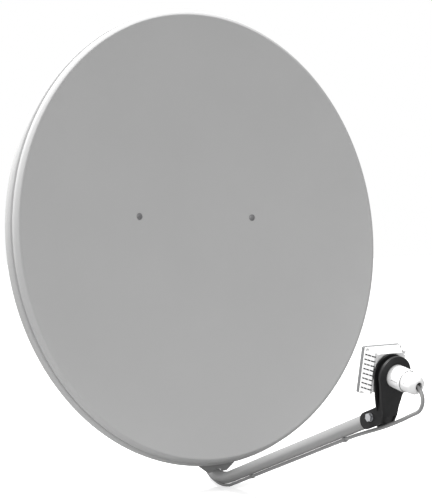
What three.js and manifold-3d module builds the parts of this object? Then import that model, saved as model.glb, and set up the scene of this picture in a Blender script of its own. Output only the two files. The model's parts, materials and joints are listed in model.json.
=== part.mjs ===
// An offset satellite dish: a pressed sheet reflector with a rolled rim, a bent feed arm with its
// LNB holder and square LNB, a coax lead, and a tilting clamp for a round mast.
// Millimetres, +Z up. The dish faces -Y, and the origin is on the mast axis at mid height of the clamp.
import * as THREE from "three";
import { mergeVertices } from "three/addons/utils/BufferGeometryUtils.js";
import Module from "manifold-3d";

const wasm = await Module();
wasm.setup();

// ---- Driving dimensions ----
const GAP = 0.3; // clearance between pieces that touch on the real dish
const REST_TILT = 5.1; // degrees the rim plane leans back when the dish is at rest

// Reflector
const FACE_WIDTH = 900; // the face is taller than this, because it is cut at a slant
const OFFSET_ANGLE = 23.038; // degrees between the rim plane and the aperture
const FOCAL_RATIO = 0.62; // focal length over face width
const SHEET = 1.6;
const RIM_DEPTH = 36; // how far the rolled rim reaches behind the face edge
const RIM_WIDTH = 18; // how far it stands out past the face edge
const RIM_FLANGE = 14; // flat return flange at the back of the rim
const BACK_BOLT_SPREAD = 296; // between the two bolts that show on the face
const BACK_BOLT_HEIGHT = 45; // above the middle of the face

// Feed arm
const ARM_RADIUS = 12.5;
const ARM_WALL = 1.5;
const ARM_UNDER_RIM = 12.37; // top of the arm below the lowest point of the rim
const ARM_BEND_RADIUS = 100;
const ARM_BEHIND_BOWL = 31.95; // climbing arm's axis behind the middle of the face
const ARM_TOP = 78; // top end of the climbing run above the middle of the face
const ARM_PAST_BOLT = 14; // arm end beyond the holder bolt

// LNB and its holder, on an axis of their own
const NECK_RADIUS = 20; // the 40 mm neck that every holder grips
const FEED_PAST_FOCUS = 37.53; // holder's outer face on the neck axis, in front of the focus
const FEED_ABOVE_FOCUS = 3.26; // and above it
const FEED_DIP = 16; // degrees that the neck axis drops away from the face normal
const HOLDER_DEPTH = 18;
const HOLDER_PLATE = 5; // its outer plate
const HOLDER_REAR_PLATE = 3;
const HOLDER_RING_RADIUS = 33.5;
const HOLDER_BOLT_BACK = 30; // holder bolt, behind the holder's outer face
const HOLDER_BOLT_DROP = 83; // and below the neck axis
const CHEEK = 3.5; // clevis cheek thickness
const CHEEK_RADIUS = 14.8;
const CHEEK_SAG = 2.5; // cheeks sit this far below the arm axis
const CHEEK_REACH = 15.5; // middle of their round end, down the arm from the bolt
const BOX_SIZE = 82; // square front of the LNB
const BOX_CORNER = 2.5; // rounding of its four long edges
const BOX_FRONT = 48; // front of the LNB cover, ahead of the holder's outer face
const COVER_DEPTH = 6.7;
const PLASTIC_WALL = 2;
const RIB_DEPTH = 5; // ribs along the sides of the LNB
const RIB_COUNT = 9;
const RIB_PITCH = 8.3;
const RIB_SLOT = 2.4; // open between two ribs
const RIB_BAR = 2.2; // width of the bars across the ribs
const NECK_END = 29.6; // back end of the neck, behind the holder's outer face
const HOOD_END = 57; // back end of the sliding weather cover
const HOOD_OVERLAP = 3.6;
const NECK_WALL = 1.4;
const HOOD_HOLE = 7;
const SOCKET_RADIUS = 4.7;
const PLUG_FLATS = 11;

// Coax lead
const LEAD_RADIUS = 3.3;
const LEAD_OFFSET = ARM_RADIUS + LEAD_RADIUS + 2 * GAP; // lead axis from arm axis
const COIL_RADIUS = 42; // outer turns
const COIL_HEIGHT = -250; // above the middle of the face
const COIL_LAYERS = 3;
const TAIL_LENGTH = 45;
const PLUG_LENGTH = 26;

// Rear structure and mast clamp
const BAR_LENGTH = 350;
const BAR_HEIGHT = 40;
const BAR_DEPTH = 14;
const BAR_SHEET = 2.5;
const PLATE = 3; // bracket steel
const EAR_INSIDE = 35; // inner face of each ear of the tilt bracket, from the middle
const PIVOT_BEHIND_ARM = 75;
const PIVOT_HEIGHT = 20; // pivot above the middle of the face
const PIVOT_FORWARD = 105; // pivot in front of the mast axis
const PIVOT_ABOVE_CLAMP = 40;
const LOCK_RADIUS = 70; // lock bolt below the pivot
const TILT_FORWARD = 18; // degrees of travel from rest
const TILT_BACK = 27;
const MAST_RADIUS = 25;
const JAW_HEIGHT = 110;
const JAW_LIFT = 5; // middle of the jaw plates above the origin
const JAW_BACKING = 1.13; // steel between the plate and the bottom of each V
const JAW_MARGIN = 8; // plate outside the clamp bolts
const JAW_TIP = 9; // tips of the V teeth from the mast axis
const TOOTH_END = 6; // flat end of each tooth beside the V
const TEETH_SPREAD = 80; // between the two V teeth of a jaw
const CLAMP_BOLT_CLEARANCE = 3.7; // between a clamp bolt and a tooth
const CLAMP_BOLT_PITCH = 40;
const CLAMP_BOLT_SPARE = 30; // how far the clamp bolts reach behind the rear jaw at rest

// Fasteners: shank radius, flats of the head, head and nut height
const M8 = { shank: 3.9, flats: 13, head: 5.5, nut: 7 };
const M6 = { shank: 2.9, flats: 10, head: 4, nut: 5 };
const M5 = { shank: 2.4, flats: 8, head: 3.5, nut: 4 };
const M4 = { shank: 1.9, flats: 7, head: 2.8, nut: 3.2 };

// ---- Finishes ----
const finish = (color, roughness, metalness = 0) =>
  new THREE.MeshStandardMaterial({ color, roughness, metalness });
const DISH_COAT = finish(0xa9a9a9, 0.55);
const ARM_COAT = finish(0xc4c4c4, 0.45);
const ZINC = finish(0xb4b8bc, 0.4, 0.9);
const BLACK_PLASTIC = finish(0x242424, 0.5);
const WHITE_PLASTIC = finish(0xf4f4f4, 0.35);
const GREY_PLASTIC = finish(0xa4a6a8, 0.5);
const LEAD_PVC = finish(0xdedede, 0.45);
const CAST_ALUMINIUM = finish(0xa8aaac, 0.45, 0.8);
const BOARD = finish(0x2d5a3a, 0.6);
const NICKEL = finish(0xc8c4b8, 0.3, 1);

// ---- Small tools ----
const rad = THREE.MathUtils.degToRad;
const circleSteps = 12;

// A closed mesh as a manifold-3d solid, and back.
function solid(geometry) {
  const bare = geometry.clone();
  for (const name of ["normal", "uv"]) bare.deleteAttribute(name);
  const merged = mergeVertices(bare, 1e-4);
  return new wasm.Manifold(
    new wasm.Mesh({
      numProp: 3,
      vertProperties: new Float32Array(merged.attributes.position.array),
      triVerts: new Uint32Array(merged.index.array),
    }),
  );
}

function geometryOf(manifold) {
  const mesh = manifold.getMesh();
  const geometry = new THREE.BufferGeometry();
  geometry.setAttribute("position", new THREE.BufferAttribute(mesh.vertProperties, 3));
  geometry.setIndex(new THREE.BufferAttribute(mesh.triVerts, 1));
  geometry.computeVertexNormals();
  return geometry;
}

const join = (...parts) => geometryOf(parts.map(solid).reduce((sum, part) => sum.add(part)));
const cut = (base, ...tools) =>
  geometryOf(tools.map(solid).reduce((rest, tool) => rest.subtract(tool), solid(base)));

// Plates: an outline drawn in one plane, given its thickness along the third axis.
function extruded(shape, depth, steps = 8) {
  return new THREE.ExtrudeGeometry(shape, { depth, bevelEnabled: false, curveSegments: steps });
}
const AXIS = {
  x: new THREE.Vector3(1, 0, 0),
  y: new THREE.Vector3(0, 1, 0),
  z: new THREE.Vector3(0, 0, 1),
};
// outline (y, z), from x0 to x1
function plateX(shape, x0, x1, steps) {
  const turn = new THREE.Matrix4().makeBasis(AXIS.y, AXIS.z, AXIS.x);
  return extruded(shape, x1 - x0, steps).applyMatrix4(turn).translate(x0, 0, 0);
}
// outline (x, z), from y0 to y1
function plateY(shape, y0, y1, steps) {
  const turn = new THREE.Matrix4().makeBasis(AXIS.x, AXIS.z, AXIS.y.clone().negate());
  return extruded(shape, y1 - y0, steps).applyMatrix4(turn).translate(0, y1, 0);
}
// outline (x, y), from z0 to z1
const plateZ = (shape, z0, z1, steps) => extruded(shape, z1 - z0, steps).translate(0, 0, z0);

function block(x0, x1, y0, y1, z0, z1) {
  const box = new THREE.BoxGeometry(x1 - x0, y1 - y0, z1 - z0);
  return box.translate((x0 + x1) / 2, (y0 + y1) / 2, (z0 + z1) / 2);
}

function polygon(points) {
  return new THREE.Shape(points.map(([a, b]) => new THREE.Vector2(a, b)));
}

function roundedRect(width, height, radius) {
  const w = width / 2 - radius;
  const h = height / 2 - radius;
  const shape = new THREE.Shape();
  shape.absarc(w, h, radius, 0, Math.PI / 2);
  shape.absarc(-w, h, radius, Math.PI / 2, Math.PI);
  shape.absarc(-w, -h, radius, Math.PI, 1.5 * Math.PI);
  shape.absarc(w, -h, radius, 1.5 * Math.PI, 2 * Math.PI);
  return shape;
}

// Rods lie along one axis between two of its values.
function rod(axis, radius, from, to, a, b, steps = circleSteps) {
  const bar = new THREE.CylinderGeometry(radius, radius, to - from, steps);
  const mid = (from + to) / 2;
  if (axis === "x") return bar.rotateZ(-Math.PI / 2).translate(mid, a, b);
  if (axis === "z") return bar.rotateX(Math.PI / 2).translate(a, b, mid);
  return bar.translate(a, mid, b);
}

// A skin over rings of points; a ring of one point is a pole. Its faces are turned to point out.
function skin(rings) {
  const count = Math.max(...rings.map((ring) => ring.length));
  const points = rings.flat();
  const starts = [];
  rings.reduce((total, ring) => (starts.push(total), total + ring.length), 0);
  const at = (ring, i) => starts[ring] + (rings[ring].length === 1 ? 0 : i % count);
  const index = [];
  for (let r = 0; r + 1 < rings.length; r++)
    for (let i = 0; i < count; i++) {
      if (rings[r + 1].length > 1) index.push(at(r, i), at(r + 1, i), at(r + 1, i + 1));
      if (rings[r].length > 1) index.push(at(r, i), at(r + 1, i + 1), at(r, i + 1));
    }
  const volume = (a, b, c) => points[a].dot(points[b].clone().cross(points[c]));
  let total = 0;
  for (let i = 0; i < index.length; i += 3) total += volume(index[i], index[i + 1], index[i + 2]);
  if (total < 0) index.reverse();
  const geometry = new THREE.BufferGeometry().setFromPoints(points);
  geometry.setIndex(index);
  geometry.computeVertexNormals();
  return geometry;
}

// A path through chosen points that puts one section of a tube at each of them.
class KnotPath extends THREE.Curve {
  constructor(knots) {
    super();
    this.knots = knots;
  }
  getPoint(t) {
    const last = this.knots.length - 1;
    const i = Math.min(Math.floor(t * last + 1e-9), last - 1);
    return this.knots[i].clone().lerp(this.knots[i + 1], t * last - i);
  }
  getPointAt(u) {
    return this.getPoint(u);
  }
  getSpacedPoints() {
    return this.knots.map((knot) => knot.clone());
  }
  getTangentAt(u) {
    const last = this.knots.length - 1;
    const i = Math.round(u * last);
    const before = this.knots[Math.max(i - 1, 0)];
    const after = this.knots[Math.min(i + 1, last)];
    const here = this.knots[i];
    const way = new THREE.Vector3();
    if (i > 0) way.add(here.clone().sub(before).normalize());
    if (i < last) way.add(after.clone().sub(here).normalize());
    return way.normalize();
  }
}

function tube(knots, radius, sides, bore = 0) {
  const section = new THREE.Shape().absarc(0, 0, radius, 0, 2 * Math.PI);
  if (bore) section.holes.push(new THREE.Path().absarc(0, 0, bore, 0, 2 * Math.PI, true));
  return new THREE.ExtrudeGeometry(section, {
    steps: knots.length - 1,
    extrudePath: new KnotPath(knots),
    curveSegments: sides / 2,
  });
}

// ---- Fasteners, each along +Y with the face under its head at y = 0 and its head at y < 0 ----
const hexRadius = (flats) => flats / Math.sqrt(3);
const FLANGE_SHARE = 0.58; // flange radius over the flats

function hexBolt(size, length) {
  const head = new THREE.CylinderGeometry(hexRadius(size.flats), hexRadius(size.flats), size.head, 6);
  const flange = rod("y", size.flats * FLANGE_SHARE, -1.4, 0, 0, 0);
  const shank = rod("y", size.shank, -1, length, 0, 0, 8);
  return join(head.translate(0, -size.head / 2 - 0.4, 0), flange, shank);
}

function hexNut(size) {
  const body = new THREE.CylinderGeometry(hexRadius(size.flats), hexRadius(size.flats), size.nut, 6);
  const flange = rod("y", size.flats * FLANGE_SHARE, 0, 1.4, 0, 0);
  const bore = rod("y", size.shank + GAP, -1, size.nut + 1, 0, 0, 8);
  return cut(join(body.translate(0, size.nut / 2, 0), flange), bore);
}

// ---- Where the paraboloid puts the face and its focus ----
const offset = rad(OFFSET_ANGLE);
const HALF_WIDTH = FACE_WIDTH / 2;
const HALF_HEIGHT = HALF_WIDTH / Math.cos(offset);
const FOCAL = FOCAL_RATIO * FACE_WIDTH;
const LOWER_EDGE = 2 * FOCAL * Math.tan(offset) - HALF_WIDTH; // height over the boresight
const MID_HEIGHT = LOWER_EDGE + HALF_WIDTH;
const MID_DEPTH = (LOWER_EDGE ** 2 + (LOWER_EDGE + FACE_WIDTH) ** 2) / (8 * FOCAL);
const FOCUS_AHEAD = (FOCAL - MID_DEPTH) * Math.cos(offset) + MID_HEIGHT * Math.sin(offset);
const FOCUS_DROP = MID_HEIGHT * Math.cos(offset) - (FOCAL - MID_DEPTH) * Math.sin(offset);
const FEED_REACH = FOCUS_AHEAD + FEED_PAST_FOCUS;
const FEED_DROP = FOCUS_DROP - FEED_ABOVE_FOCUS;

// Depth of the face behind the rim plane, where the paraboloid is cut by that tilted plane.
function faceDepth(x, z) {
  const s = Math.sin(offset);
  const c = Math.cos(offset);
  const forward = MID_DEPTH + s * z;
  const up = MID_HEIGHT + c * z;
  const b = 2 * up * s + 4 * FOCAL * c;
  const rest = up ** 2 + x ** 2 - 4 * FOCAL * forward;
  return (-b + Math.sqrt(b ** 2 - 4 * s ** 2 * rest)) / (2 * s ** 2);
}
const ARM_STANDOFF = faceDepth(0, 0) + ARM_BEHIND_BOWL; // behind the rim plane
const PIVOT_BACK = ARM_STANDOFF + PIVOT_BEHIND_ARM;

// The dish hangs in a tilted group whose origin is the middle of the rim plane: +X to the right,
// +Y towards the back and +Z up the face. The mast clamp stands straight.
const tilt = rad(REST_TILT);
const root = new THREE.Group();
const dish = new THREE.Group();
dish.rotation.x = -tilt;
dish.position.set(
  0,
  -PIVOT_FORWARD - PIVOT_BACK * Math.cos(tilt) - PIVOT_HEIGHT * Math.sin(tilt),
  PIVOT_ABOVE_CLAMP + PIVOT_BACK * Math.sin(tilt) - PIVOT_HEIGHT * Math.cos(tilt),
);
root.add(dish);

const feed = new THREE.Group(); // +Y from the holder's outer face towards the dish
feed.position.set(0, -FEED_REACH, -FEED_DROP);
feed.rotation.x = rad(FEED_DIP);
dish.add(feed);

function add(group, name, geometry, material) {
  const mesh = new THREE.Mesh(geometry, material);
  mesh.name = name;
  group.add(mesh);
  return mesh;
}

// A fastener that runs along +X, +Y, -Y or -Z from a given seat.
function addFastener(group, name, geometry, [x, y, z], along = "+y") {
  const mesh = add(group, name, geometry, ZINC);
  mesh.position.set(x, y, z);
  if (along === "+x") mesh.rotation.z = -Math.PI / 2;
  if (along === "-y") mesh.rotation.z = Math.PI;
  if (along === "-z") mesh.rotation.x = -Math.PI / 2;
  return mesh;
}

// ---- Reflector ----
// A ring on the face, at a share of the way out to its edge.
function faceRing(share, back, steps) {
  return Array.from({ length: steps }, (_, i) => {
    const angle = (2 * Math.PI * i) / steps;
    const x = share * HALF_WIDTH * Math.cos(angle);
    const z = share * HALF_HEIGHT * Math.sin(angle);
    return new THREE.Vector3(x, faceDepth(x, z) + back, z);
  });
}

// A ring on the rim, so far outside the face edge and so far behind it.
function rimRing(out, back, steps) {
  return Array.from({ length: steps }, (_, i) => {
    const angle = (2 * Math.PI * i) / steps;
    const edge = new THREE.Vector2(HALF_WIDTH * Math.cos(angle), HALF_HEIGHT * Math.sin(angle));
    const normal = new THREE.Vector2(Math.cos(angle) / HALF_WIDTH, Math.sin(angle) / HALF_HEIGHT);
    edge.addScaledVector(normal.normalize(), out);
    return new THREE.Vector3(edge.x, back, edge.y);
  });
}

function reflectorGeometry() {
  const steps = 48;
  const boltShare = Math.hypot(BACK_BOLT_SPREAD / FACE_WIDTH, BACK_BOLT_HEIGHT / HALF_HEIGHT);
  const shares = [0.15, boltShare - 0.04, boltShare + 0.04, 0.55, 0.75, 0.92];
  const w = RIM_WIDTH;
  const d = RIM_DEPTH;
  // two beads with a groove between them, then the return flange and the same way back inside
  const outside = [
    [0, 0],
    [w * 0.3, d * 0.06],
    [w * 0.5, d * 0.22],
    [w * 0.53, d * 0.38],
    [w * 0.44, d * 0.48],
    [w * 0.7, d * 0.54],
    [w, d * 0.8],
    [w * 0.94, d],
  ];
  const inside = [
    [w * 0.94 - RIM_FLANGE, d],
    [w * 0.94 - RIM_FLANGE, d - SHEET],
    [w * 0.94 - 1.1 * SHEET, d - SHEET],
    [w - 1.2 * SHEET, d * 0.8],
    [w * 0.7 - 1.2 * SHEET, d * 0.6],
    [w * 0.42 - SHEET, d * 0.5],
    [w * 0.5 - SHEET, d * 0.3],
    [w * 0.25 - SHEET, d * 0.06 + 1.2 * SHEET],
  ];
  return skin([
    [new THREE.Vector3(0, faceDepth(0, 0), 0)],
    ...shares.map((share) => faceRing(share, 0, steps)),
    ...outside.map(([out, back]) => rimRing(out, back, steps)),
    ...inside.map(([out, back]) => rimRing(out, back, steps)),
    ...shares.toReversed().map((share) => faceRing(share, SHEET, steps)),
    [new THREE.Vector3(0, faceDepth(0, 0) + SHEET, 0)],
  ]);
}

// Slope of the face at a point, as a turn that lays a head flat on it.
function faceTurn(x, z) {
  const slopeX = faceDepth(x + 1, z) - faceDepth(x, z);
  const slopeZ = faceDepth(x, z + 1) - faceDepth(x, z);
  const normal = new THREE.Vector3(-slopeX, 1, -slopeZ).normalize();
  return new THREE.Quaternion().setFromUnitVectors(AXIS.y, normal);
}

// The arm climbs the back at this line, and the bar, the bracket and the bolts follow it.
const BAR_BACK = ARM_STANDOFF - ARM_RADIUS - GAP;
const BAR_WEB = BAR_BACK - BAR_SHEET;
const BRACKET_FRONT = ARM_STANDOFF + ARM_RADIUS + GAP;
const SADDLE_FRONT = RIM_DEPTH + 1;
const SADDLE_BACK = SADDLE_FRONT + BAR_SHEET;
const SADDLE_BOLT_X = 32;
const SADDLE_HALF_TOP = 49;
const SADDLE_HALF_FOOT = 24.5;
const RIM_LOW = -(HALF_HEIGHT + RIM_WIDTH);
const SADDLE_BOLT_Z = RIM_LOW + RIM_WIDTH * 0.06 + RIM_FLANGE / 2 + 2.4;

function addReflector() {
  const holes = [-1, 1].flatMap((side) => [
    rod("y", M6.shank + GAP, 0, 2 * ARM_STANDOFF, (side * BACK_BOLT_SPREAD) / 2, BACK_BOLT_HEIGHT),
    rod("y", M5.shank + GAP, RIM_DEPTH - 8, RIM_DEPTH + 8, side * SADDLE_BOLT_X, SADDLE_BOLT_Z),
  ]);
  add(dish, "reflector", cut(reflectorGeometry(), ...holes), DISH_COAT);
}

function addBackBolts() {
  for (const [side, label] of [[-1, "left"], [1, "right"]]) {
    const x = (side * BACK_BOLT_SPREAD) / 2;
    const face = faceDepth(x, BACK_BOLT_HEIGHT);
    const headRadius = 7.5;
    const dome = new THREE.LatheGeometry(
      [[0, -3], [3.5, -2.7], [6.4, -1.6], [headRadius, -0.4], [headRadius, 0], [0, 0]].map(
        ([r, y]) => new THREE.Vector2(r, y),
      ),
      circleSteps,
    );
    dome.translate(0, -GAP, 0).applyQuaternion(faceTurn(x, BACK_BOLT_HEIGHT));
    const reach = BAR_BACK + GAP + M6.nut + 4 - face;
    const bolt = join(dome, rod("y", M6.shank, -1, reach, 0, 0, 10));
    addFastener(dish, "back_bolt_" + label, bolt, [x, face, BACK_BOLT_HEIGHT]);
    const nutSeat = [x, BAR_BACK + GAP, BACK_BOLT_HEIGHT];
    addFastener(dish, "back_nut_" + label, hexNut(M6), nutSeat);

    const spacerRadius = 9;
    const inner = faceDepth(Math.abs(x) - spacerRadius, BACK_BOLT_HEIGHT - spacerRadius);
    const spacer = cut(
      rod("y", spacerRadius, inner + SHEET + 2 * GAP, BAR_WEB - GAP, x, BACK_BOLT_HEIGHT),
      rod("y", M6.shank + GAP, 0, ARM_STANDOFF, x, BACK_BOLT_HEIGHT, 10),
    );
    add(dish, "spacer_" + label, spacer, BLACK_PLASTIC);
  }
}

// Channel across the back, open towards the reflector.
function addCrossbar() {
  const h = BAR_HEIGHT / 2;
  const front = BAR_BACK - BAR_DEPTH;
  const channel = polygon([
    [front, -h],
    [BAR_BACK, -h],
    [BAR_BACK, h],
    [front, h],
    [front, h - BAR_SHEET],
    [BAR_WEB, h - BAR_SHEET],
    [BAR_WEB, -h + BAR_SHEET],
    [front, -h + BAR_SHEET],
  ]);
  const bar = plateX(channel, -BAR_LENGTH / 2, BAR_LENGTH / 2).translate(0, 0, BACK_BOLT_HEIGHT);
  const hole = (x, size) =>
    rod("y", size.shank + GAP, front - 1, BAR_BACK + 1, x, BACK_BOLT_HEIGHT);
  const spread = BACK_BOLT_SPREAD / 2;
  add(dish, "crossbar", cut(bar, hole(-spread, M6), hole(spread, M6), hole(0, M8)), ZINC);
}

// ---- Feed arm ----
// Points of the dish group in its own X = 0 plane, as (distance in front of the rim plane, height).
const inPlane = (ahead, height) => new THREE.Vector3(0, -ahead, height);
const dip = rad(FEED_DIP);
const HOLDER_BOLT = {
  ahead: FEED_REACH - HOLDER_BOLT_BACK * Math.cos(dip) - HOLDER_BOLT_DROP * Math.sin(dip),
  height: -FEED_DROP + HOLDER_BOLT_BACK * Math.sin(dip) - HOLDER_BOLT_DROP * Math.cos(dip),
};
// The bend passes close under the rim, and the straight arm leaves it for the holder bolt.
const BEND_AHEAD = ARM_BEND_RADIUS - ARM_STANDOFF;
const BEND_HEIGHT = RIM_LOW - ARM_UNDER_RIM - ARM_RADIUS + ARM_BEND_RADIUS;
const boltAhead = HOLDER_BOLT.ahead - BEND_AHEAD;
const boltAbove = HOLDER_BOLT.height - BEND_HEIGHT;
const rise =
  Math.atan2(boltAbove, boltAhead) + Math.asin(ARM_BEND_RADIUS / Math.hypot(boltAhead, boltAbove));

const BEND_STEPS = 10;

// Points round the bend at some distance from its centre, from the straight arm to the climb.
function bendPoints(radius, steps) {
  const start = -Math.PI / 2 + rise;
  return Array.from({ length: steps + 1 }, (_, i) => {
    const angle = start + ((-Math.PI - start) * i) / steps;
    return inPlane(BEND_AHEAD + radius * Math.cos(angle), BEND_HEIGHT + radius * Math.sin(angle));
  });
}

// A point beside the straight arm: so far along from the holder bolt, and so far above the axis.
function besideArm(along, above) {
  return inPlane(
    HOLDER_BOLT.ahead + along * Math.cos(rise) - above * Math.sin(rise),
    HOLDER_BOLT.height + along * Math.sin(rise) + above * Math.cos(rise),
  );
}

function addFeedArm() {
  const knots = [
    besideArm(ARM_PAST_BOLT, 0),
    ...bendPoints(ARM_BEND_RADIUS, BEND_STEPS),
    inPlane(-ARM_STANDOFF, ARM_TOP),
  ];
  const bolt = besideArm(0, 0);
  const arm = cut(
    tube(knots, ARM_RADIUS, 14, ARM_RADIUS - ARM_WALL),
    rod("x", M8.shank + GAP, -50, 50, bolt.y, bolt.z),
    rod("y", M8.shank + GAP, 0, 2 * ARM_STANDOFF, 0, BACK_BOLT_HEIGHT),
    rod("y", M8.shank + GAP, 0, 2 * ARM_STANDOFF, 0, LOWER_BRACKET_BOLT),
  );
  add(dish, "feed_arm", arm, ARM_COAT);

  const cap = join(
    rod("z", ARM_RADIUS + 1, ARM_TOP + GAP, ARM_TOP + 3, 0, ARM_STANDOFF),
    rod("z", ARM_RADIUS - ARM_WALL - 1, ARM_TOP - 14, ARM_TOP + 1, 0, ARM_STANDOFF),
  );
  add(dish, "arm_cap", cap, BLACK_PLASTIC);
}

// Sheet plate behind the rim's lower edge, notched round the arm.
function addSaddle() {
  const lean = Math.asin((BEND_AHEAD + (SADDLE_FRONT + SADDLE_BACK) / 2) / ARM_BEND_RADIUS);
  const armHeight = BEND_HEIGHT - ARM_BEND_RADIUS * Math.cos(lean);
  const notch = tube(bendPoints(ARM_BEND_RADIUS, BEND_STEPS), ARM_RADIUS + 2 * GAP, 24);
  const foot = armHeight + ARM_RADIUS / 2;
  const outline = polygon([
    [-SADDLE_HALF_TOP, RIM_LOW + 3],
    [-SADDLE_HALF_FOOT, foot],
    [SADDLE_HALF_FOOT, foot],
    [SADDLE_HALF_TOP, RIM_LOW + 3],
    [SADDLE_HALF_TOP, RIM_LOW + 20],
    [-SADDLE_HALF_TOP, RIM_LOW + 20],
  ]);
  const tools = [-1, 1].map((side) =>
    rod("y", M5.shank + GAP, SADDLE_FRONT - 1, SADDLE_BACK + 1, side * SADDLE_BOLT_X, SADDLE_BOLT_Z),
  );
  add(dish, "arm_saddle", cut(plateY(outline, SADDLE_FRONT, SADDLE_BACK), notch, ...tools), ZINC);
  for (const [side, label] of [[-1, "left"], [1, "right"]]) {
    const x = side * SADDLE_BOLT_X;
    const seat = [x, SADDLE_BACK + GAP, SADDLE_BOLT_Z];
    const length = SADDLE_BACK - RIM_DEPTH + SHEET + M5.nut + 4;
    addFastener(dish, "saddle_bolt_" + label, hexBolt(M5, length), seat, "-y");
    const inside = [x, RIM_DEPTH - SHEET - GAP, SADDLE_BOLT_Z];
    addFastener(dish, "saddle_nut_" + label, hexNut(M5), inside, "-y");
  }
}

// ---- Tilt bracket: a channel on the arm whose ears take the pivot and the arc slot ----
const BRACKET_TOP = 64;
const BRACKET_FOOT = -46;
const LOWER_BRACKET_BOLT = -26;

function earOutline() {
  const slotMargin = 2;
  const edge = 8;
  const slotHalf = M8.shank + 2 * GAP;
  const down = -Math.PI / 2 + tilt;
  const slotBack = down + rad(TILT_BACK + slotMargin);
  const slotFront = down - rad(TILT_FORWARD + slotMargin);
  const endMargin = (slotHalf + edge) / LOCK_RADIUS;
  const outer = LOCK_RADIUS + slotHalf + edge;
  const ear = new THREE.Shape();
  ear.moveTo(BRACKET_FRONT, BRACKET_FOOT);
  ear.lineTo(BRACKET_FRONT, BRACKET_TOP);
  ear.absarc(PIVOT_BACK, PIVOT_HEIGHT, 18, rad(100), rad(10), true);
  ear.absarc(PIVOT_BACK, PIVOT_HEIGHT, outer, slotBack + endMargin, slotFront - endMargin, true);
  const slot = new THREE.Path();
  const end = (angle) => [
    PIVOT_BACK + LOCK_RADIUS * Math.cos(angle),
    PIVOT_HEIGHT + LOCK_RADIUS * Math.sin(angle),
  ];
  slot.absarc(PIVOT_BACK, PIVOT_HEIGHT, LOCK_RADIUS + slotHalf, slotFront, slotBack);
  slot.absarc(...end(slotBack), slotHalf, slotBack, slotBack + Math.PI);
  slot.absarc(PIVOT_BACK, PIVOT_HEIGHT, LOCK_RADIUS - slotHalf, slotBack, slotFront, true);
  slot.absarc(...end(slotFront), slotHalf, slotFront + Math.PI, slotFront + 2 * Math.PI);
  const pivot = new THREE.Path().absarc(PIVOT_BACK, PIVOT_HEIGHT, M8.shank + GAP, 0, 2 * Math.PI);
  ear.holes.push(slot, pivot);
  return ear;
}

function addTiltBracket() {
  const outside = EAR_INSIDE + PLATE;
  const web = block(
    -outside,
    outside,
    BRACKET_FRONT,
    BRACKET_FRONT + PLATE,
    BRACKET_FOOT,
    BRACKET_TOP,
  );
  const ears = [-outside, EAR_INSIDE].map((x) => plateX(earOutline(), x, x + PLATE, 6));
  const holes = [BACK_BOLT_HEIGHT, LOWER_BRACKET_BOLT].map((z) =>
    rod("y", M8.shank + GAP, BRACKET_FRONT - 1, BRACKET_FRONT + PLATE + 1, 0, z),
  );
  add(dish, "tilt_bracket", cut(join(web, ...ears), ...holes), ZINC);

  const nutSeat = BRACKET_FRONT + PLATE + GAP;
  const reach = nutSeat + M8.nut + 4;
  const upperSeat = BAR_WEB - GAP;
  const lowerSeat = ARM_STANDOFF - ARM_RADIUS - GAP;
  addFastener(dish, "arm_bolt_upper", hexBolt(M8, reach - upperSeat), [0, upperSeat, BACK_BOLT_HEIGHT]);
  addFastener(dish, "arm_bolt_lower", hexBolt(M8, reach - lowerSeat), [0, lowerSeat, LOWER_BRACKET_BOLT]);
  addFastener(dish, "arm_nut_upper", hexNut(M8), [0, nutSeat, BACK_BOLT_HEIGHT]);
  addFastener(dish, "arm_nut_lower", hexNut(M8), [0, nutSeat, LOWER_BRACKET_BOLT]);
}

// ---- Mast clamp ----
const SIDE_OUTSIDE = EAR_INSIDE - 0.4;
const PIVOT = { y: -PIVOT_FORWARD, z: PIVOT_ABOVE_CLAMP };
const LOCK = { y: -PIVOT_FORWARD, z: PIVOT_ABOVE_CLAMP - LOCK_RADIUS };
const TOOTH_HEIGHTS = [-1, 1].map((side) => JAW_LIFT + (side * TEETH_SPREAD) / 2);
const V_HALF_ANGLE = Math.PI / 3;
const V_DEPTH = MAST_RADIUS / Math.sin(V_HALF_ANGLE); // bottom of each V from the mast axis
const V_MOUTH = (V_DEPTH - JAW_TIP) * Math.tan(V_HALF_ANGLE); // half the mouth of each V
const JAW_STANDOFF = V_DEPTH + JAW_BACKING;
const CLAMP_BOLT_X = V_MOUTH + TOOTH_END + M8.shank + CLAMP_BOLT_CLEARANCE;
const JAW_WIDTH = 2 * (CLAMP_BOLT_X + JAW_MARGIN);
const CLAMP_BOLTS = [-1, 1].flatMap((side) =>
  [-1, 1].map((level) => ({
    x: side * CLAMP_BOLT_X,
    z: JAW_LIFT + (level * CLAMP_BOLT_PITCH) / 2,
    label: (side < 0 ? "left" : "right") + (level < 0 ? "_lower" : "_upper"),
  })),
);

// One clamp half in front of the mast: a plate with two V teeth that bear on the mast.
function jawGeometry() {
  const plate = plateY(
    roundedRect(JAW_WIDTH, JAW_HEIGHT, 8),
    -JAW_STANDOFF - PLATE,
    -JAW_STANDOFF,
    3,
  ).translate(0, 0, JAW_LIFT);
  const toothHalf = V_MOUTH + TOOTH_END;
  const tooth = polygon([
    [-toothHalf, -JAW_STANDOFF - 1],
    [toothHalf, -JAW_STANDOFF - 1],
    [toothHalf, -JAW_TIP],
    [V_MOUTH, -JAW_TIP],
    [0, -V_DEPTH],
    [-V_MOUTH, -JAW_TIP],
    [-toothHalf, -JAW_TIP],
  ]);
  const teeth = TOOTH_HEIGHTS.map((z) => plateZ(tooth, z - PLATE / 2, z + PLATE / 2));
  const holes = CLAMP_BOLTS.map(({ x, z }) =>
    rod("y", M8.shank + GAP, -JAW_STANDOFF - PLATE - 1, -JAW_STANDOFF + 1, x, z),
  );
  return cut(join(plate, ...teeth), ...holes);
}

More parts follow.
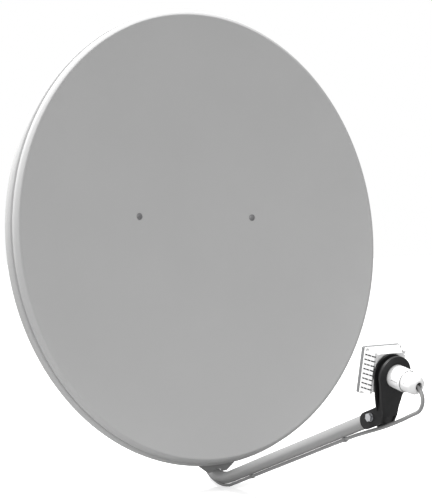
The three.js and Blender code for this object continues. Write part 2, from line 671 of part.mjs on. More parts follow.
function addMastClamp() {
  const nose = 16;
  const sideShape = new THREE.Shape();
  sideShape.moveTo(-JAW_STANDOFF - 1, JAW_LIFT - JAW_HEIGHT / 2 + 4);
  sideShape.lineTo(-JAW_STANDOFF - 1, JAW_LIFT + JAW_HEIGHT / 2 - 2);
  sideShape.absarc(PIVOT.y, PIVOT.z, nose, rad(90), rad(180));
  sideShape.absarc(LOCK.y, LOCK.z, nose, rad(180), rad(270));
  const holes = [PIVOT, LOCK].map(({ y, z }) => rod("x", M8.shank + GAP, -60, 60, y, z));
  const sides = [-SIDE_OUTSIDE, SIDE_OUTSIDE - PLATE].map((x) => plateX(sideShape, x, x + PLATE, 6));
  add(root, "mast_bracket", cut(join(jawGeometry(), ...sides), ...holes), ZINC);
  add(root, "clamp_jaw", jawGeometry().rotateZ(Math.PI), ZINC);

  const seat = -EAR_INSIDE - PLATE - GAP;
  const length = 2 * (EAR_INSIDE + PLATE + GAP) + M8.nut + 4;
  for (const [name, at] of [["pivot", PIVOT], ["lock", LOCK]]) {
    addFastener(root, name + "_bolt", hexBolt(M8, length), [seat, at.y, at.z], "+x");
    addFastener(root, name + "_nut", hexNut(M8), [-seat, at.y, at.z], "+x");
  }
  const front = -JAW_STANDOFF - PLATE - GAP;
  for (const { x, z, label } of CLAMP_BOLTS) {
    addFastener(root, "clamp_bolt_" + label, hexBolt(M8, CLAMP_BOLT_SPARE + JAW_STANDOFF - front), [x, front, z]);
    addFastener(root, "clamp_nut_" + label, hexNut(M8), [x, -front, z]);
  }
}

// ---- LNB holder, in the feed group: x across, y towards the dish, z up ----
const ARM_IN_FEED = -(rise + dip); // turn of the arm as the feed group sees it
const bore = NECK_RADIUS + GAP;
const HOOD_RADIUS = NECK_RADIUS - NECK_WALL - 2 * GAP; // the hood slides inside the neck
const JAW_SCREW = { x: 29, y: HOLDER_DEPTH / 2, top: 13.5, bottom: -31 };
const LEG_FOOT = -HOLDER_BOLT_DROP + 10.7; // lowest edge of the holder's leg, above the arm
const CHEEK_INSIDE = ARM_RADIUS + 2 * GAP;
const CHEEK_OUTSIDE = CHEEK_INSIDE + CHEEK;

// A point beside the arm, in the feed group, as [y, z].
function feedPoint(along, above) {
  const c = Math.cos(ARM_IN_FEED);
  const s = Math.sin(ARM_IN_FEED);
  return [
    HOLDER_BOLT_BACK - along * c - above * s,
    -HOLDER_BOLT_DROP - along * s + above * c,
  ];
}

// Ring and leg as one outline, seen along the neck.
function holderOutline() {
  const r = HOLDER_RING_RADIUS;
  const shape = new THREE.Shape();
  shape.moveTo(r * Math.cos(rad(8)), r * Math.sin(rad(8)));
  shape.absarc(0, 0, r, rad(8), rad(188));
  shape.quadraticCurveTo(-28, -22, -25, -40);
  shape.lineTo(-CHEEK_OUTSIDE, LEG_FOOT + 4);
  shape.lineTo(-CHEEK_OUTSIDE + 4, LEG_FOOT);
  shape.lineTo(CHEEK_OUTSIDE - 4, LEG_FOOT);
  shape.lineTo(CHEEK_OUTSIDE, LEG_FOOT + 14);
  shape.lineTo(22.5, -32);
  shape.lineTo(r - 2, JAW_SCREW.bottom);
  shape.lineTo(r - 2, -24);
  shape.lineTo(NECK_RADIUS * 0.6, -NECK_RADIUS * 0.8);
  shape.lineTo(0, 0);
  return shape;
}

// The clevis that straddles the arm, seen from the side.
function clevisOutline() {
  const shape = new THREE.Shape();
  const start = 1.5 * Math.PI + ARM_IN_FEED;
  const [y, z] = feedPoint(-CHEEK_REACH, -CHEEK_SAG);
  const bottom = -CHEEK_SAG - CHEEK_RADIUS;
  shape.moveTo(HOLDER_DEPTH, -44);
  shape.lineTo(0, -44);
  shape.lineTo(0, -58);
  shape.quadraticCurveTo(0, -HOLDER_BOLT_DROP + 3.5, ...feedPoint(14, bottom));
  shape.absarc(y, z, CHEEK_RADIUS, start, start + Math.PI);
  shape.lineTo(...feedPoint(19, -CHEEK_SAG + CHEEK_RADIUS));
  return shape;
}

function addHolder() {
  const inner = HOLDER_DEPTH - HOLDER_REAR_PLATE;
  const face = plateY(holderOutline(), 0, HOLDER_PLATE, 24);
  const rear = plateY(holderOutline(), inner, HOLDER_DEPTH, 24);
  const collar = rod("y", bore + 6, 1, HOLDER_DEPTH - 1, 0, 0, 32);
  const legWeb = block(-CHEEK_OUTSIDE, CHEEK_OUTSIDE, 1, inner + 1, -46, -NECK_RADIUS);
  const lugEnd = HOLDER_RING_RADIUS - 2;
  const upperLug = block(21, lugEnd, 1, inner + 1, 4.8, JAW_SCREW.top);
  const lowerLug = block(16, lugEnd, 1, inner + 1, JAW_SCREW.bottom, -24);
  const cheeks = [-CHEEK_OUTSIDE, CHEEK_INSIDE].map((x) => plateX(clevisOutline(), x, x + CHEEK, 10));
  const floorShape = polygon([
    feedPoint(ARM_PAST_BOLT, -CHEEK_SAG - CHEEK_RADIUS + 0.5),
    feedPoint(ARM_PAST_BOLT + 2, -ARM_RADIUS),
    [4, -HOLDER_BOLT_DROP + 17],
    [1, -HOLDER_BOLT_DROP + 17],
    [5, -HOLDER_BOLT_DROP + 5],
  ]);
  const floor = plateX(floorShape, -CHEEK_INSIDE - 1, CHEEK_INSIDE + 1);
  const [boltY, boltZ] = feedPoint(0, 0);
  const mouth = polygon([
    [0, 0],
    [2 * HOLDER_RING_RADIUS, 2 * HOLDER_RING_RADIUS * Math.tan(rad(8))],
    [2 * HOLDER_RING_RADIUS, -24],
    [NECK_RADIUS * 0.75, -24],
  ]);
  const holder = cut(
    join(face, rear, collar, legWeb, upperLug, lowerLug, ...cheeks, floor),
    rod("y", bore, -1, HOLDER_DEPTH + 1, 0, 0, 32),
    plateY(mouth, -1, HOLDER_DEPTH + 1),
    rod("x", M8.shank + GAP, -60, 60, boltY, boltZ),
    rod("z", M4.shank + GAP, JAW_SCREW.bottom - 1, JAW_SCREW.top + 1, JAW_SCREW.x, JAW_SCREW.y),
    rod("z", hexRadius(M4.flats) + GAP, JAW_SCREW.top, JAW_SCREW.top + 9, JAW_SCREW.x, JAW_SCREW.y),
    rod("z", hexRadius(M4.flats) + GAP, JAW_SCREW.bottom - 9, JAW_SCREW.bottom, JAW_SCREW.x, JAW_SCREW.y),
  );
  add(feed, "lnb_holder", holder, BLACK_PLASTIC);

  const seat = -CHEEK_OUTSIDE - GAP;
  const reach = -2 * seat + M8.nut + 3;
  addFastener(feed, "holder_bolt", hexBolt(M8, reach), [seat, boltY, boltZ], "+x");
  addFastener(feed, "holder_nut", hexNut(M8), [-seat, boltY, boltZ], "+x");
  const screwLength = JAW_SCREW.top - JAW_SCREW.bottom + 2 * GAP + M4.nut + 3;
  const screwTop = [JAW_SCREW.x, JAW_SCREW.y, JAW_SCREW.top + GAP];
  addFastener(feed, "jaw_screw", hexBolt(M4, screwLength), screwTop, "-z");
  const nutTop = [JAW_SCREW.x, JAW_SCREW.y, JAW_SCREW.bottom - GAP];
  addFastener(feed, "jaw_nut", hexNut(M4), nutTop, "-z");
}

// ---- LNB ----
// A ring of a rounded square across the neck axis.
function squareRing(width, height, radius, y) {
  const corner = 4;
  const points = roundedRect(width, height, radius).getPoints(corner);
  const unique = points.filter((p, i) => i === 0 || p.distanceTo(points[i - 1]) > 1e-6);
  if (unique[0].distanceTo(unique.at(-1)) < 1e-6) unique.pop();
  return unique.map((p) => new THREE.Vector3(p.x, y, p.y));
}

function loft(...rings) {
  const middle = (ring) =>
    ring.reduce((sum, p) => sum.add(p), new THREE.Vector3()).divideScalar(ring.length);
  return skin([[middle(rings[0])], ...rings, [middle(rings.at(-1))]]);
}

const BOX_BACK = HOLDER_DEPTH + 1;
const COVER_BACK = BOX_FRONT - COVER_DEPTH;
const HOUSING_FRONT = COVER_BACK - GAP;
const BULKHEAD = -2;
const PLUG_SEAT = -8;
const PLUG_END = -34;

function addLnb() {
  const wall = PLASTIC_WALL;
  const front = BOX_SIZE - 1;
  const backWidth = BOX_SIZE * 0.74;
  const backHeight = BOX_SIZE * 0.82;
  const waist = front - 2 * RIB_DEPTH; // between the ribs of the two sides
  const body = loft(
    squareRing(front, front, BOX_CORNER, HOUSING_FRONT),
    squareRing(front, front, BOX_CORNER, HOUSING_FRONT - 3),
    squareRing(waist, front - 1, BOX_CORNER, HOUSING_FRONT - 4),
    squareRing(backWidth, backHeight, BOX_CORNER + 3, BOX_BACK),
  );
  const room = loft(
    squareRing(waist - 2 * wall, front - 2 * wall, BOX_CORNER, HOUSING_FRONT + 1),
    squareRing(waist - 2 * wall, front - 2 * wall, BOX_CORNER, HOUSING_FRONT - 4),
    squareRing(backWidth - 2 * wall, backHeight - 2 * wall, BOX_CORNER + 2, BOX_BACK + wall),
  );
  const neckProfile = [
    [0, -NECK_END],
    [NECK_RADIUS - NECK_WALL * 0.7, -NECK_END],
    [NECK_RADIUS - NECK_WALL * 0.1, -NECK_END + 3.5],
    [NECK_RADIUS, -NECK_END + 7],
    [NECK_RADIUS, BOX_BACK + 1],
    [0, BOX_BACK + 1],
  ].map(([r, y]) => new THREE.Vector2(r, y));
  const neck = new THREE.LatheGeometry(neckProfile, 32);
  const neckRoom = rod("y", HOOD_RADIUS + 2 * GAP, -NECK_END - 1, BULKHEAD, 0, 0, 32);
  const waveRoom = rod("y", NECK_RADIUS - 2 * wall, BULKHEAD + 3, BOX_BACK + wall + 1, 0, 0, 24);
  const socketHole = rod("y", SOCKET_RADIUS + GAP, BULKHEAD - 1, BULKHEAD + 4, 0, 0);
  // ribs along both sides, and two bars across them
  const ribs = [];
  const ribSpan = (RIB_COUNT - 1) * RIB_PITCH;
  const halfRib = (RIB_PITCH - RIB_SLOT) / 2;
  const ribBack = backWidth / 2 + RIB_DEPTH * 0.8;
  const barReach = (y) => ribBack + ((front / 2 - ribBack) * (y - BOX_BACK)) / (HOUSING_FRONT - BOX_BACK);
  for (const side of [-1, 1]) {
    const rib = polygon([
      [side * (waist / 2 - wall), HOUSING_FRONT - 3],
      [side * (front / 2 - 0.2), HOUSING_FRONT - 3],
      [side * ribBack, BOX_BACK + 1],
      [side * (backWidth / 2 - 1), BOX_BACK + 1],
    ]);
    for (let i = 0; i < RIB_COUNT; i++) {
      const z = i * RIB_PITCH - ribSpan / 2;
      ribs.push(plateZ(rib, z - halfRib, z + halfRib));
    }
    for (const share of [0.36, 0.68]) {
      const y = BOX_BACK + share * (HOUSING_FRONT - BOX_BACK);
      const ends = [side * (backWidth / 2 - 1), side * (barReach(y) - 0.6)].sort((a, b) => a - b);
      ribs.push(block(...ends, y - RIB_BAR / 2, y + RIB_BAR / 2, -ribSpan / 2, ribSpan / 2));
    }
  }
  // a shallow slot along the side of the neck
  const drainWidth = 1.8;
  const drainFront = -0.36 * NECK_END;
  const drainBack = -0.84 * NECK_END;
  const drainDepth = 0.9;
  const drain = block(
    -NECK_RADIUS - 1,
    drainDepth - NECK_RADIUS,
    drainBack,
    drainFront,
    -1.8 * drainWidth,
    -0.8 * drainWidth,
  );
  const housing = cut(join(body, neck, ...ribs), room, neckRoom, waveRoom, socketHole, drain);
  add(feed, "lnb_housing", housing, WHITE_PLASTIC);

  const cover = cut(
    loft(
      squareRing(BOX_SIZE - 1, BOX_SIZE - 1, BOX_CORNER, BOX_FRONT),
      squareRing(BOX_SIZE, BOX_SIZE, BOX_CORNER, BOX_FRONT - 0.6),
      squareRing(BOX_SIZE, BOX_SIZE, BOX_CORNER, COVER_BACK),
    ),
    loft(
      squareRing(BOX_SIZE - 2 * wall, BOX_SIZE - 2 * wall, BOX_CORNER, BOX_FRONT - wall),
      squareRing(BOX_SIZE - 2 * wall, BOX_SIZE - 2 * wall, BOX_CORNER, COVER_BACK - 1),
    ),
  );
  add(feed, "lnb_front_cover", cover, GREY_PLASTIC);

  const hornBack = BOX_BACK + wall + 3;
  const horn = new THREE.LatheGeometry(
    [
      [9, hornBack],
      [11, hornBack],
      [13, hornBack + 3],
      [29, BOX_FRONT - wall - 2],
      [27, BOX_FRONT - wall - 2],
      [11, hornBack + 4],
      [9, hornBack],
    ].map(([r, y]) => new THREE.Vector2(r, y)),
    24,
  );
  add(feed, "feed_horn", horn, CAST_ALUMINIUM);
  const boardBack = BOX_BACK + wall + GAP;
  const board = plateY(roundedRect(50, 56, 4), boardBack, boardBack + 1.6, 3);
  add(feed, "circuit_board", board, BOARD);

  const socket = join(
    rod("y", SOCKET_RADIUS, -18, BULKHEAD + 8, 0, 0),
    rod("y", hexRadius(PLUG_FLATS), BULKHEAD + 3 + GAP, BULKHEAD + 6, 0, 0, 6),
  );
  add(feed, "f_socket", socket, NICKEL);

  const plug = cut(
    join(
      rod("y", hexRadius(PLUG_FLATS), PLUG_SEAT - 11, PLUG_SEAT, 0, 0, 6),
      rod("y", 5.2, PLUG_END, PLUG_SEAT - 10, 0, 0),
    ),
    rod("y", SOCKET_RADIUS + GAP, -18 - GAP, PLUG_SEAT + 1, 0, 0),
  );
  add(feed, "lnb_plug", plug, NICKEL);

  const hoodFront = -NECK_END + HOOD_OVERLAP;
  const hoodThroat = PLUG_END - 14;
  const hood = [
    [HOOD_HOLE, -HOOD_END],
    [HOOD_HOLE + 2.5, -HOOD_END],
    [HOOD_RADIUS - 3, -HOOD_END + 4],
    [HOOD_RADIUS - 1.6, hoodThroat - 2],
    [HOOD_RADIUS - 0.4, -NECK_END - 2],
    [HOOD_RADIUS, hoodFront],
    [HOOD_RADIUS - 1.6, hoodFront],
    [HOOD_RADIUS - 3.2, hoodThroat],
    [HOOD_HOLE, -HOOD_END + wall + 2],
    [HOOD_HOLE, -HOOD_END],
  ].map(([r, y]) => new THREE.Vector2(r, y));
  // and one along the same side of the hood
  const gripWidth = 2.2;
  const gripDepth = 1.4;
  const gripFront = -NECK_END - 7.4;
  const gripBack = -HOOD_END + 5;
  const grip = block(
    -HOOD_RADIUS - 1,
    gripDepth - HOOD_RADIUS,
    gripBack,
    gripFront,
    -0.7 * gripWidth,
    0.3 * gripWidth,
  );
  add(feed, "weather_cover", cut(new THREE.LatheGeometry(hood, 28), grip), WHITE_PLASTIC);
}

// ---- Coax lead ----
// The lead leaves the plug along the neck axis, turns down in one loop, and follows the arm's
// underside round the bend and up its back to a coil.
function leadKnots() {
  const out = (back, below = 0) =>
    inPlane(
      FEED_REACH + back * Math.cos(dip) - below * Math.sin(dip),
      -FEED_DROP - back * Math.sin(dip) - below * Math.cos(dip),
    );
  const loopRadius = 24.5;
  const loopStart = 45.5;
  const knots = [out(-PLUG_END + GAP), out(loopStart)];
  const loopTurns = 8;
  const loopEnd = rad(143);
  for (let i = 1; i <= loopTurns; i++) {
    const angle = (loopEnd * i) / loopTurns;
    knots.push(out(loopStart + loopRadius * Math.sin(angle), loopRadius * (1 - Math.cos(angle))));
  }
  knots.push(besideArm(76, -LEAD_OFFSET - 3.4));
  knots.push(besideArm(54, -LEAD_OFFSET - 4.6));
  knots.push(besideArm(17, -LEAD_OFFSET - 4.9));
  knots.push(besideArm(-20, -LEAD_OFFSET - 3.2));
  knots.push(besideArm(-58, -LEAD_OFFSET - 1));
  knots.push(besideArm(-90, -LEAD_OFFSET));
  knots.push(besideArm(-290, -LEAD_OFFSET));
  knots.push(...bendPoints(ARM_BEND_RADIUS + LEAD_OFFSET, 14));
  knots.push(inPlane(-ARM_STANDOFF - LEAD_OFFSET, COIL_HEIGHT - 60));
  knots.push(inPlane(-ARM_STANDOFF - LEAD_OFFSET, COIL_HEIGHT - 27));
  return knots;
}

// Clips on the arm that the lead is pressed into.
function addClips() {
  const length = 6;
  const wall = 0.7;
  const halfWidth = LEAD_RADIUS + GAP + wall;
  const bottom = -LEAD_OFFSET - halfWidth;
  const clip = cut(
    block(-halfWidth, halfWidth, -length / 2, length / 2, bottom, -ARM_RADIUS + wall),
    rod("y", ARM_RADIUS + GAP, -length, length, 0, 0, 40),
    rod("y", LEAD_RADIUS + GAP, -length, length, 0, -LEAD_OFFSET, 16),
  );
  const places = [
    { at: besideArm(-105, 0), turn: rise },
    { at: besideArm(-435, 0), turn: rise },
    { at: inPlane(-ARM_STANDOFF, -400), turn: -Math.PI / 2 },
    { at: inPlane(-ARM_STANDOFF, -318), turn: -Math.PI / 2 },
  ];
  places.forEach(({ at, turn }, i) => {
    const mesh = add(dish, "lead_clip_" + (i + 1), clip, GREY_PLASTIC);
    mesh.position.copy(at);
    mesh.rotation.x = -turn;
  });
}

function addLead() {
  add(dish, "coax_lead", tube(leadKnots(), LEAD_RADIUS, 8), LEAD_PVC);

  const lead = 2 * LEAD_RADIUS;
  const coilX = -COIL_RADIUS;
  const coilFront = ARM_STANDOFF + LEAD_OFFSET - LEAD_RADIUS - GAP / 2;
  const coilBack = coilFront + COIL_LAYERS * lead + GAP;
  const outer = COIL_RADIUS + LEAD_RADIUS + GAP;
  const inner = COIL_RADIUS - lead - LEAD_RADIUS - GAP;
  const ring = new THREE.LatheGeometry(
    [
      [inner, coilFront],
      [outer, coilFront],
      [outer, coilBack],
      [inner, coilBack],
      [inner, coilFront],
    ].map(([r, y]) => new THREE.Vector2(r, y)),
    32,
  );
  add(dish, "coax_coil", ring.translate(coilX, 0, COIL_HEIGHT), LEAD_PVC);

  const tailX = coilX - COIL_RADIUS;
  const tailY = coilBack - LEAD_RADIUS - GAP / 2;
  const tailTop = COIL_HEIGHT - 27;
  const tail = rod("z", LEAD_RADIUS, tailTop - TAIL_LENGTH, tailTop, tailX, tailY, 8);
  add(dish, "coax_tail", tail, LEAD_PVC);
  const plugTop = tailTop - TAIL_LENGTH - GAP;
  const plug = join(
    rod("z", 5.2, plugTop - PLUG_LENGTH * 0.6, plugTop, tailX, tailY),
    rod("z", hexRadius(PLUG_FLATS), plugTop - PLUG_LENGTH, plugTop - PLUG_LENGTH * 0.55, tailX, tailY, 6),
  );
  add(dish, "coax_plug", plug, NICKEL);

  const hug = GAP + 0.2;
  const band = new THREE.Shape();
  const hole = new THREE.Path();
  const loop = (path, away) => {
    const r = ARM_RADIUS + away;
    const left = coilX + inner - away;
    const right = coilX + outer + away;
    const back = coilBack + away;
    path.absarc(0, ARM_STANDOFF, r, rad(180), rad(360));
    path.lineTo(right + 3, back - 8);
    path.lineTo(right, back);
    path.lineTo(left, back);
    path.lineTo(-r, back - 10);
  };
  loop(band, hug + 1.3);
  loop(hole, hug);
  band.holes.push(new THREE.Path(hole.getPoints(8).reverse()));
  add(dish, "coil_tie", plateZ(band, COIL_HEIGHT - 2.4, COIL_HEIGHT + 2.4, 8), WHITE_PLASTIC);
}

addReflector();
addBackBolts();
addCrossbar();
addFeedArm();
addSaddle();
addTiltBracket();
addMastClamp();
addHolder();
addLnb();
addClips();
addLead();

export default root;
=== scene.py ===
"""An offset satellite dish with its LNB, lead and mast clamp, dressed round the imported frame.

Pieces are drawn in millimetres in the dish's own frame, whose origin is the middle of the rim
plane, with +X to the right, +Y towards the back and +Z up the face. DISH places them.
"""
import json
import math

import bpy
from mathutils import Matrix, Vector


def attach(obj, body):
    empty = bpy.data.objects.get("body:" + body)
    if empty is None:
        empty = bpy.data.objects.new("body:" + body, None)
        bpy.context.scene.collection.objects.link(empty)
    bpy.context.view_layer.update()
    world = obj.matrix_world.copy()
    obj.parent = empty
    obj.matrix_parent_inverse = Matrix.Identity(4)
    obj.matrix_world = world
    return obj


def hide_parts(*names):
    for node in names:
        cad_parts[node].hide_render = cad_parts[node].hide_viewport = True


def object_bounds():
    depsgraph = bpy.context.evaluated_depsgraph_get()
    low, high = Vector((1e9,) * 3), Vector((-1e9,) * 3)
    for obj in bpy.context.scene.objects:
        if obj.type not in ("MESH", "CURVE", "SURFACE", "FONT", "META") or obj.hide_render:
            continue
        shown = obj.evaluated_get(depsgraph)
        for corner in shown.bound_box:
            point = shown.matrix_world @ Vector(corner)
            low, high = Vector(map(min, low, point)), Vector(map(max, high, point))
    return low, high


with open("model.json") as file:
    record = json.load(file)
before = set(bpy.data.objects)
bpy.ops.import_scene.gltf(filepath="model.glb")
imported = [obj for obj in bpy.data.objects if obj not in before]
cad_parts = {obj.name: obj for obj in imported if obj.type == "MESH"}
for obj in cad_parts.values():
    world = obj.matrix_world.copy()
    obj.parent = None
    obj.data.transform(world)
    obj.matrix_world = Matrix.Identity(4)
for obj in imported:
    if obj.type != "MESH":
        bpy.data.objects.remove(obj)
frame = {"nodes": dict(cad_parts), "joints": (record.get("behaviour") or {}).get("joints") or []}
cad_low, cad_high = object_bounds()
nodes = frame["nodes"]
joints = {joint["name"]: joint for joint in frame["joints"]}

# ---- Driving sizes, in millimetres and degrees, as the frame was made ----
MM = 0.001
GAP = 0.3
FACE_WIDTH = 900
OFFSET = math.radians(23.038)
FOCAL = 0.62 * FACE_WIDTH
SHEET = 1.6
RIM_DEPTH = 36
RIM_WIDTH = 18
RIM_FLANGE = 14
PIVOT_BEHIND_ARM = 75
PIVOT_HEIGHT = 20
FEED_PAST_FOCUS = 37.53
FEED_ABOVE_FOCUS = 3.26
FEED_DIP = math.radians(16)
HOLDER_BOLT_BACK = 30
HOLDER_BOLT_DROP = 83
ARM_RADIUS = 12.5
ARM_WALL = 1.5
ARM_BEND = 100
ARM_BEHIND_BOWL = 31.95
ARM_UNDER_RIM = 12.37
ARM_TOP = 78
ARM_PAST_BOLT = 14
LEAD_RADIUS = 3.3
LEAD_OFFSET = ARM_RADIUS + LEAD_RADIUS + 2 * GAP
PLUG_END = 34
COIL_RADIUS = 42
COIL_HEIGHT = -250
TAIL_LENGTH = 45
TAIL_TOP = COIL_HEIGHT - 27  # where the tail leaves the coil

# ---- The paraboloid, its slanted face and its focus ----
HALF_WIDTH = FACE_WIDTH / 2
HALF_HEIGHT = HALF_WIDTH / math.cos(OFFSET)
LOWER_EDGE = 2 * FOCAL * math.tan(OFFSET) - HALF_WIDTH
MID_HEIGHT = LOWER_EDGE + HALF_WIDTH
MID_DEPTH = (LOWER_EDGE ** 2 + (LOWER_EDGE + FACE_WIDTH) ** 2) / (8 * FOCAL)
FOCUS_AHEAD = (FOCAL - MID_DEPTH) * math.cos(OFFSET) + MID_HEIGHT * math.sin(OFFSET)
FOCUS_DROP = MID_HEIGHT * math.cos(OFFSET) - (FOCAL - MID_DEPTH) * math.sin(OFFSET)
FEED_REACH = FOCUS_AHEAD + FEED_PAST_FOCUS
FEED_DROP = FOCUS_DROP - FEED_ABOVE_FOCUS


def face_depth(x, z):
    """Depth of the face behind the rim plane: a paraboloid cut by a tilted plane."""
    s, c = math.sin(OFFSET), math.cos(OFFSET)
    forward = MID_DEPTH + s * z
    up = MID_HEIGHT + c * z
    b = 2 * up * s + 4 * FOCAL * c
    rest = up ** 2 + x ** 2 - 4 * FOCAL * forward
    return (-b + math.sqrt(b ** 2 - 4 * s ** 2 * rest)) / (2 * s ** 2)


ARM_STANDOFF = face_depth(0, 0) + ARM_BEHIND_BOWL
PIVOT_BACK = ARM_STANDOFF + PIVOT_BEHIND_ARM

# ---- Places, from the frame's joints ----
pivot = Vector(joints["elevation_tilt"]["pos_m"])
neck_axis = Vector(joints["lnb_skew"]["axis"]).normalized()
REST_TILT = FEED_DIP - math.atan2(neck_axis.z, neck_axis.y)
turn_back = Matrix.Rotation(-REST_TILT, 4, "X")
face_middle = pivot + turn_back @ (Vector((0, -PIVOT_BACK, -PIVOT_HEIGHT)) * MM)
DISH = Matrix.Translation(face_middle) @ turn_back @ Matrix.Scale(MM, 4)


# ---- Camera ----
def add_camera():
    azimuth = math.radians(-31.54)
    elevation = math.radians(1.02)
    back = Vector((
        math.sin(azimuth) * math.cos(elevation),
        -math.cos(azimuth) * math.cos(elevation),
        math.sin(elevation),
    ))
    data = bpy.data.cameras.new("camera")
    data.sensor_width = 36
    data.lens = 68.98
    data.clip_start = 0.05
    data.clip_end = 50
    camera = bpy.data.objects.new("camera", data)
    camera.location = (-1.1036, -2.0974, 0.0392)
    camera.rotation_euler = back.to_track_quat("Z", "Y").to_euler()
    bpy.context.scene.collection.objects.link(camera)
    bpy.context.scene.camera = camera


add_camera()


# ---- Materials ----
def material(name, color, roughness, metallic=0.0, **sockets):
    """A new Principled material, with its node tree and its shader."""
    made = bpy.data.materials.new(name)
    made.use_nodes = True
    tree = made.node_tree
    shader = tree.nodes["Principled BSDF"]
    shader.inputs["Base Color"].default_value = (*color, 1)
    shader.inputs["Roughness"].default_value = roughness
    shader.inputs["Metallic"].default_value = metallic
    for socket, value in sockets.items():
        shader.inputs[socket.replace("_", " ")].default_value = value
    return made, tree, shader


def noise(tree, scale, detail=3.0, stretch=None):
    """Noise in the object's own metres, stretched along an axis if asked."""
    place = tree.nodes.new("ShaderNodeTexCoord")
    texture = tree.nodes.new("ShaderNodeTexNoise")
    texture.inputs["Scale"].default_value = scale
    texture.inputs["Detail"].default_value = detail
    source = place.outputs["Object"]
    if stretch:
        mapping = tree.nodes.new("ShaderNodeMapping")
        mapping.inputs["Scale"].default_value = stretch
        tree.links.new(source, mapping.inputs["Vector"])
        source = mapping.outputs["Vector"]
    tree.links.new(source, texture.inputs["Vector"])
    return texture.outputs["Fac"]


def spread(tree, value, low, high):
    """The middle of a noise spread over a range of numbers."""
    ranged = tree.nodes.new("ShaderNodeMapRange")
    ranged.inputs["From Min"].default_value = 0.3
    ranged.inputs["From Max"].default_value = 0.7
    ranged.inputs["To Min"].default_value = low
    ranged.inputs["To Max"].default_value = high
    tree.links.new(value, ranged.inputs["Value"])
    return ranged.outputs["Result"]


def tint(tree, shader, value, dark, light):
    """Base colour between two colours by a noise."""
    mix = tree.nodes.new("ShaderNodeMix")
    mix.data_type = "RGBA"
    mix.inputs["A"].default_value = (*dark, 1)
    mix.inputs["B"].default_value = (*light, 1)
    tree.links.new(spread(tree, value, 0, 1), mix.inputs["Factor"])
    tree.links.new(mix.outputs["Result"], shader.inputs["Base Color"])


def bumps(tree, shader, *layers):
    """Fine relief: each layer is a noise and its height in metres."""
    normal = None
    for value, height in layers:
        bump = tree.nodes.new("ShaderNodeBump")
        bump.inputs["Strength"].default_value = 1.0
        bump.inputs["Distance"].default_value = height
        tree.links.new(value, bump.inputs["Height"])
        if normal:
            tree.links.new(normal, bump.inputs["Normal"])
        normal = bump.outputs["Normal"]
    tree.links.new(normal, shader.inputs["Normal"])


def shade(color, share):
    return tuple(channel * share for channel in color)


def powder_coat(name, color, roughness, peel=0.00006):
    """Sprayed and baked paint: orange peel, a fine speckle and faint clouds."""
    made, tree, shader = material(name, color, roughness)
    tint(tree, shader, noise(tree, 5, 4), shade(color, 0.985), shade(color, 1.012))
    speckle = noise(tree, 1400, 2)
    tree.links.new(spread(tree, noise(tree, 60, 4), roughness - 0.05, roughness + 0.06),
                   shader.inputs["Roughness"])
    bumps(tree, shader, (noise(tree, 420, 2), peel), (speckle, peel * 0.4))
    return made


def moulded(name, color, roughness, grain=0.00004, scale=1600, **sockets):
    """Moulded plastic: fine spark-eroded grain, faint flow clouds and uneven gloss."""
    made, tree, shader = material(name, color, roughness, **sockets)
    tint(tree, shader, noise(tree, 24, 3), shade(color, 0.96), shade(color, 1.03))
    tree.links.new(spread(tree, noise(tree, 90, 3), roughness - 0.06, roughness + 0.06),
                   shader.inputs["Roughness"])
    bumps(tree, shader, (noise(tree, scale, 2), grain), (noise(tree, 45, 2), grain * 3))
    return made


def painted_groove_shade(made, reach, depth):
    """Painted shade in grooves: it darkens the base colour by ambient occlusion where the surface is hemmed
    in, as shade would fall there.
    """
    tree = made.node_tree
    shader = tree.nodes["Principled BSDF"]
    hemmed = tree.nodes.new("ShaderNodeAmbientOcclusion")
    hemmed.inputs["Distance"].default_value = reach
    hemmed.samples = 8
    share = tree.nodes.new("ShaderNodeMapRange")
    share.inputs["From Min"].default_value = 0.35
    share.inputs["From Max"].default_value = 0.85
    share.inputs["To Min"].default_value = depth
    tree.links.new(hemmed.outputs["AO"], share.inputs["Value"])
    mix = tree.nodes.new("ShaderNodeMix")
    mix.data_type = "RGBA"
    mix.blend_type = "MULTIPLY"
    mix.inputs["Factor"].default_value = 1.0
    unshaded_color = shader.inputs["Base Color"].links[0].from_socket
    tree.links.new(unshaded_color, mix.inputs["A"])
    tree.links.new(share.outputs["Result"], mix.inputs["B"])
    tree.links.new(mix.outputs["Result"], shader.inputs["Base Color"])


def plated(name, color, roughness, cloud=38):
    """Zinc or nickel plating: cloudy spangle, scratches and a dull bloom."""
    made, tree, shader = material(name, color, roughness, 0.92)
    clouds = noise(tree, cloud, 6)
    tint(tree, shader, clouds, shade(color, 0.78), shade(color, 1.12))
    tree.links.new(spread(tree, noise(tree, cloud * 2.6, 5), roughness - 0.1, roughness + 0.14),
                   shader.inputs["Roughness"])
    scratch = noise(tree, 260, 2, (0.15, 1.0, 3.0))
    bumps(tree, shader, (scratch, 0.00003), (noise(tree, 900, 2), 0.00001))
    return made


def jacket(name, color):
    """PVC cable jacket: satin, with the faint lengthwise ripple of the braid under it."""
    made, tree, shader = material(name, color, 0.38)
    tint(tree, shader, noise(tree, 16, 3), shade(color, 0.93), shade(color, 1.03))
    bumps(tree, shader, (noise(tree, 350, 2), 0.00006))
    return made


